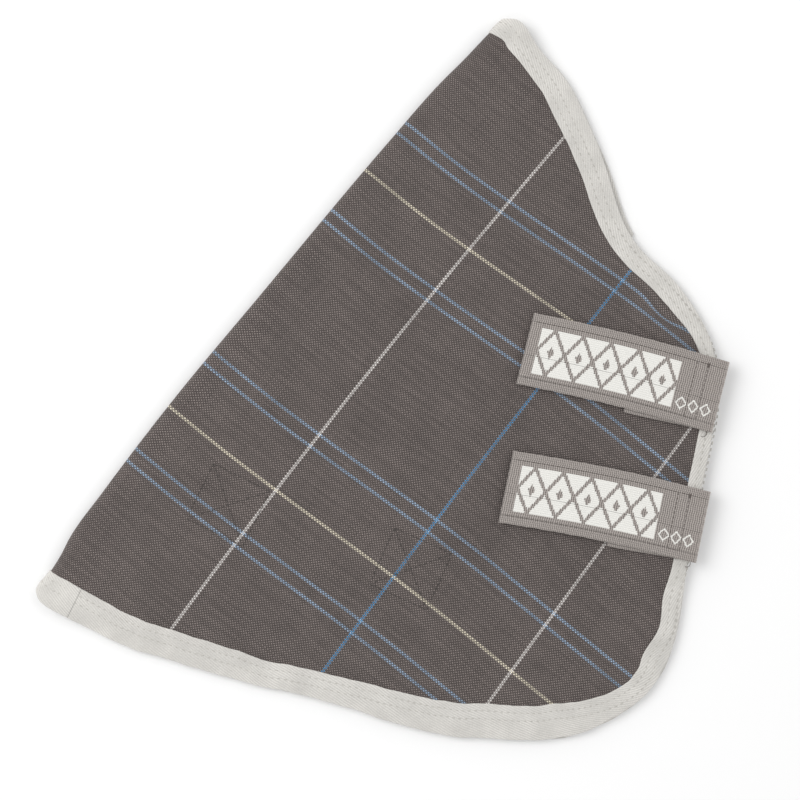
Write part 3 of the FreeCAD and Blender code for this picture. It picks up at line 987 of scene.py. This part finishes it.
def build_tab(name, place, heading):
    """One closure tab: root webbing, flap webbing, hook tape, patches and stitching."""

    def to_point(u, v, z):
        x, depth = strap_place(place, heading, u, v - tab_arch(u))
        return np.stack(np.broadcast_arrays(x + CREST_MIDDLE_X, CREST_Y - depth, z), -1)

    def on_flap(u, v, z):
        return to_point(u, v, z + tab_bow(u, v))

    def hinge_blend(piece):
        start, end = (to_point(u, 0, FLAP_Z) * MM for u in (TAB_ROOT + 0.2, TAB_ROOT + 12))
        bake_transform(piece)

    v = strap_grid(0, 10, WEBBING_WIDTH)[1][:1]
    surfaces = []
    for layer in ("outside", "inside"):
        u, z, girth = (values[:, None] for values in root_section(layer))
        skew = 2.8 * (girth < 0) * smoothstep(-girth / 60)
        drop = rounded_edges(v, WEBBING_WIDTH, WEBBING_THICK) * (0.6 if layer == "outside" else -0.2)
        surfaces.append(to_point(u, v + skew, z - np.sign(z - ROOT_MIDDLE_Z) * drop))
    outside_girth = root_section("outside")[2][:, None]
    pattern = np.stack(np.broadcast_arrays(outside_girth, v), -1)
    root = slab(f"{name}_tab_root_webbing", surfaces[0], surfaces[1], pattern, tab_paint)
    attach(root, "upper_half")
    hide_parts(f"{name}_tab_root")

    u, v = strap_grid(TAB_ROOT, TAB_LENGTH, WEBBING_WIDTH)
    flap = strap_slab(f"{name}_tab_flap_webbing", u, v, FLAP_Z, FLAP_Z + WEBBING_THICK,
                      on_flap, WEBBING_WIDTH, tab_paint)
    hinge_blend(flap)
    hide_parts(f"{name}_tab_flap")

    u, v = strap_grid(HOOK_START, HOOK_END, HOOK_WIDTH)
    backing = strap_slab(f"{name}_tab_hook_tape", u, v, FLAP_Z - 0.55, FLAP_Z - HAIR,
                         on_flap, HOOK_WIDTH, hook_paint)
    teeth = hooks(f"{name}_tab_hooks", HOOK_START, HOOK_END, HOOK_WIDTH, FLAP_Z - 0.55, -1, 1.75, on_flap)
    for piece in (backing, teeth):
        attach(piece, f"{name}_tab")
    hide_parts(f"{name}_tab_hook")

    reach = PATCH_WIDTH / 2 - 2
    box = box_of_stitches((PATCH_START + 2, PATCH_END - 2), (-reach, reach), 3.4, 2.6, False)
    sides = {half: on_cover(place, heading, sign) for half, sign, _, _ in PATCHES}
    pads = {half: loop_pad(f"{half}_loop_patch_{name}_pile", PATCH_START, PATCH_END, PATCH_WIDTH,
                           SHELL_THICK, face, sides[half], seed, flipped=sign < 0)
            for half, sign, face, seed in PATCHES}
    for half, pad in pads.items():
        side = sides[half]
        seam = stitches(f"{half}_loop_patch_{name}_stitches", box, side, SHELL_THICK + 0.5, 0.22, dark_thread)
        for piece in (pad, seam):
            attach(piece, f"{half}_half")
        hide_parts(f"{half}_loop_patch_{name}")

    top = FLAP_Z + WEBBING_THICK
    root_box = box_of_stitches((TAB_BOX_START, TAB_ROOT - 0.3), (-19.5, 19.5), 3.3, 2.5, False)
    bar_tack = np.concatenate([stitch_rows([(u, -20.6), (u, -16.2)], 4.0, 4.0) for u in BAR_TACK])
    root_seam = stitches(f"{name}_tab_box_stitch", np.concatenate([root_box, bar_tack]), to_point, top, 0.2,
                         dark_thread)
    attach(root_seam, "upper_half")
    borders = [stitch_rows([(TAB_ROOT + 1, w), (TAB_LENGTH - 3, w)], 3.4, 2.6) for w in (-19.3, 19.3)]
    border_seam = stitches(f"{name}_tab_border_stitch", np.concatenate(borders), on_flap, top, 0.17,
                           dark_thread)
    hinge_blend(border_seam)
    along, across, above = THREAD_TAIL.T
    tail_points = on_cover(place, heading, 1)(along, across, above + BINDING_TOP)
    tail_ups = np.broadcast_to((0.0, 0.0, 1.0), tail_points.shape)
    loose_end = tubes(f"{name}_tab_thread_tail", tail_points[None], tail_ups[None],
                      [0.2] * len(THREAD_TAIL), dark_thread)
    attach(loose_end, "upper_half")


def build_rug_strap(name, place, heading, half):
    """One rug strap on the lining: webbing, loop and hook tape, and the box stitch on the shell."""
    flipped = half == "upper"
    to_point = on_cover(place, heading, 1 if flipped else -1)
    low, high = LINING_LIFT - WEBBING_THICK, LINING_LIFT - HAIR
    u, v = strap_grid(STRAP_START, STRAP_END, WEBBING_WIDTH, step=2.0)
    webbing = strap_slab(f"{half}_{name}_strap", u, v, high, low, to_point, WEBBING_WIDTH,
                         strap_paint, flipped)
    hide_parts(f"{half}_{name}_strap_webbing")
    loop_start = STRAP_START + TAPE_MARGIN
    pad = loop_pad(f"{half}_{name}_strap_pile", loop_start, loop_start + TAPE_LENGTH, TAPE_WIDTH,
                   low, low - TAPE_THICK + 0.15, to_point, 5, flipped)
    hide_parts(f"{half}_{name}_strap_loop")
    hook_end = STRAP_END - TAPE_MARGIN
    u, v = strap_grid(hook_end - TAPE_LENGTH, hook_end, TAPE_WIDTH, step=2.0)
    backing = strap_slab(f"{half}_{name}_strap_hook_tape", u, v, low, low - 0.35, to_point, TAPE_WIDTH,
                         hook_paint, flipped)
    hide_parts(f"{half}_{name}_strap_hook")
    teeth = hooks(f"{half}_{name}_strap_hooks", hook_end - TAPE_LENGTH, hook_end, TAPE_WIDTH,
                  low - 0.3, -1, 1.9, to_point)
    box = box_of_stitches(*RUG_BOX, 3.6, 2.7)
    outside = stitches(f"{half}_{name}_strap_box_stitch", box, to_point, SHELL_THICK + 0.07, 0.21,
                       shell_thread)
    for piece in (webbing, pad, backing, teeth, outside):
        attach(piece, f"{half}_half")


for name, (place, heading) in TABS.items():
    build_tab(name, place, heading)
for half in ("lower", "upper"):
    for name, (place, heading) in RUG_STRAPS.items():
        build_rug_strap(name, place, heading, half)


# Floor, light and camera: floor and lights in metres, camera in millimetres.

FLOOR_HALF, FLOOR_Z = 6.0, -0.0002
HORIZON_LIGHT, ZENITH_LIGHT = 1.35, 0.45  # low light all round gives wide soft shadows
# Name, place, size and power. The key is on the crest's side, at the left of the camera's view.
LIGHTS = [
    ("key", (-0.35, 1.35, 1.5), 1.4, 20.0),
    ("fill", (1.2, -0.9, 1.6), 2.0, 7.0),
]
CAMERA_TARGET = (4.94, 69.98)
IMAGE_RIGHT = (0.6327, -0.7744)
VIEW_WIDTH = 548.0
LENS, SENSOR = 85.0, 36.0
COVER_TOP = 9.0


def studio():
    mesh = bpy.data.meshes.new("floor")
    corners = [(-1, -1), (1, -1), (1, 1), (-1, 1)]
    mesh.from_pydata([(x * FLOOR_HALF, y * FLOOR_HALF, FLOOR_Z) for x, y in corners], [], [(0, 1, 2, 3)])
    floor = add_object("floor", mesh)
    p = Paint("pale_floor")
    mesh.materials.append(p.finish((0.90, 0.90, 0.90), 0.9, specular=0.1))
    floor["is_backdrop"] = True

    world = bpy.data.worlds.new("studio")
    world.use_nodes = True
    nodes, links = world.node_tree.nodes, world.node_tree.links
    background = nodes["Background"]
    background.inputs["Color"].default_value = (1.0, 1.0, 1.0, 1)
    direction = nodes.new("ShaderNodeTexCoord")
    parts = nodes.new("ShaderNodeSeparateXYZ")
    strength = nodes.new("ShaderNodeMapRange")
    strength.inputs["To Min"].default_value = HORIZON_LIGHT
    strength.inputs["To Max"].default_value = ZENITH_LIGHT
    links.new(direction.outputs["Generated"], parts.inputs[0])
    links.new(parts.outputs["Z"], strength.inputs["Value"])
    links.new(strength.outputs[0], background.inputs["Strength"])
    bpy.context.scene.world = world

    for name, place, size, power in LIGHTS:
        data = bpy.data.lights.new(name, "AREA")
        data.shape = "DISK"
        data.size = size
        data.energy = power
        lamp = add_object(name, data)
        lamp.location = place
        lamp.rotation_euler = (-Vector(place)).to_track_quat("-Z", "Y").to_euler()


def camera():
    data = bpy.data.cameras.new("camera")
    data.lens = LENS
    data.sensor_width = SENSOR
    seen_from = add_object("camera", data)
    right = Vector((*IMAGE_RIGHT, 0)).normalized()
    back = Vector((0, 0, 1))
    up = back.cross(right)
    turn = Matrix((right, up, back)).transposed().to_4x4()
    height = VIEW_WIDTH * LENS / SENSOR + COVER_TOP
    seen_from.matrix_world = Matrix.Translation(Vector((*CAMERA_TARGET, height)) * MM) @ turn
    data.clip_start = 0.01
    bpy.context.scene.camera = seen_from


studio()
camera()
bpy.context.scene.view_settings.view_transform = "Standard"

low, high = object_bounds()
{"cad_box": [list(cad_low), list(cad_high)], "visual_box": [list(low), list(high)]}
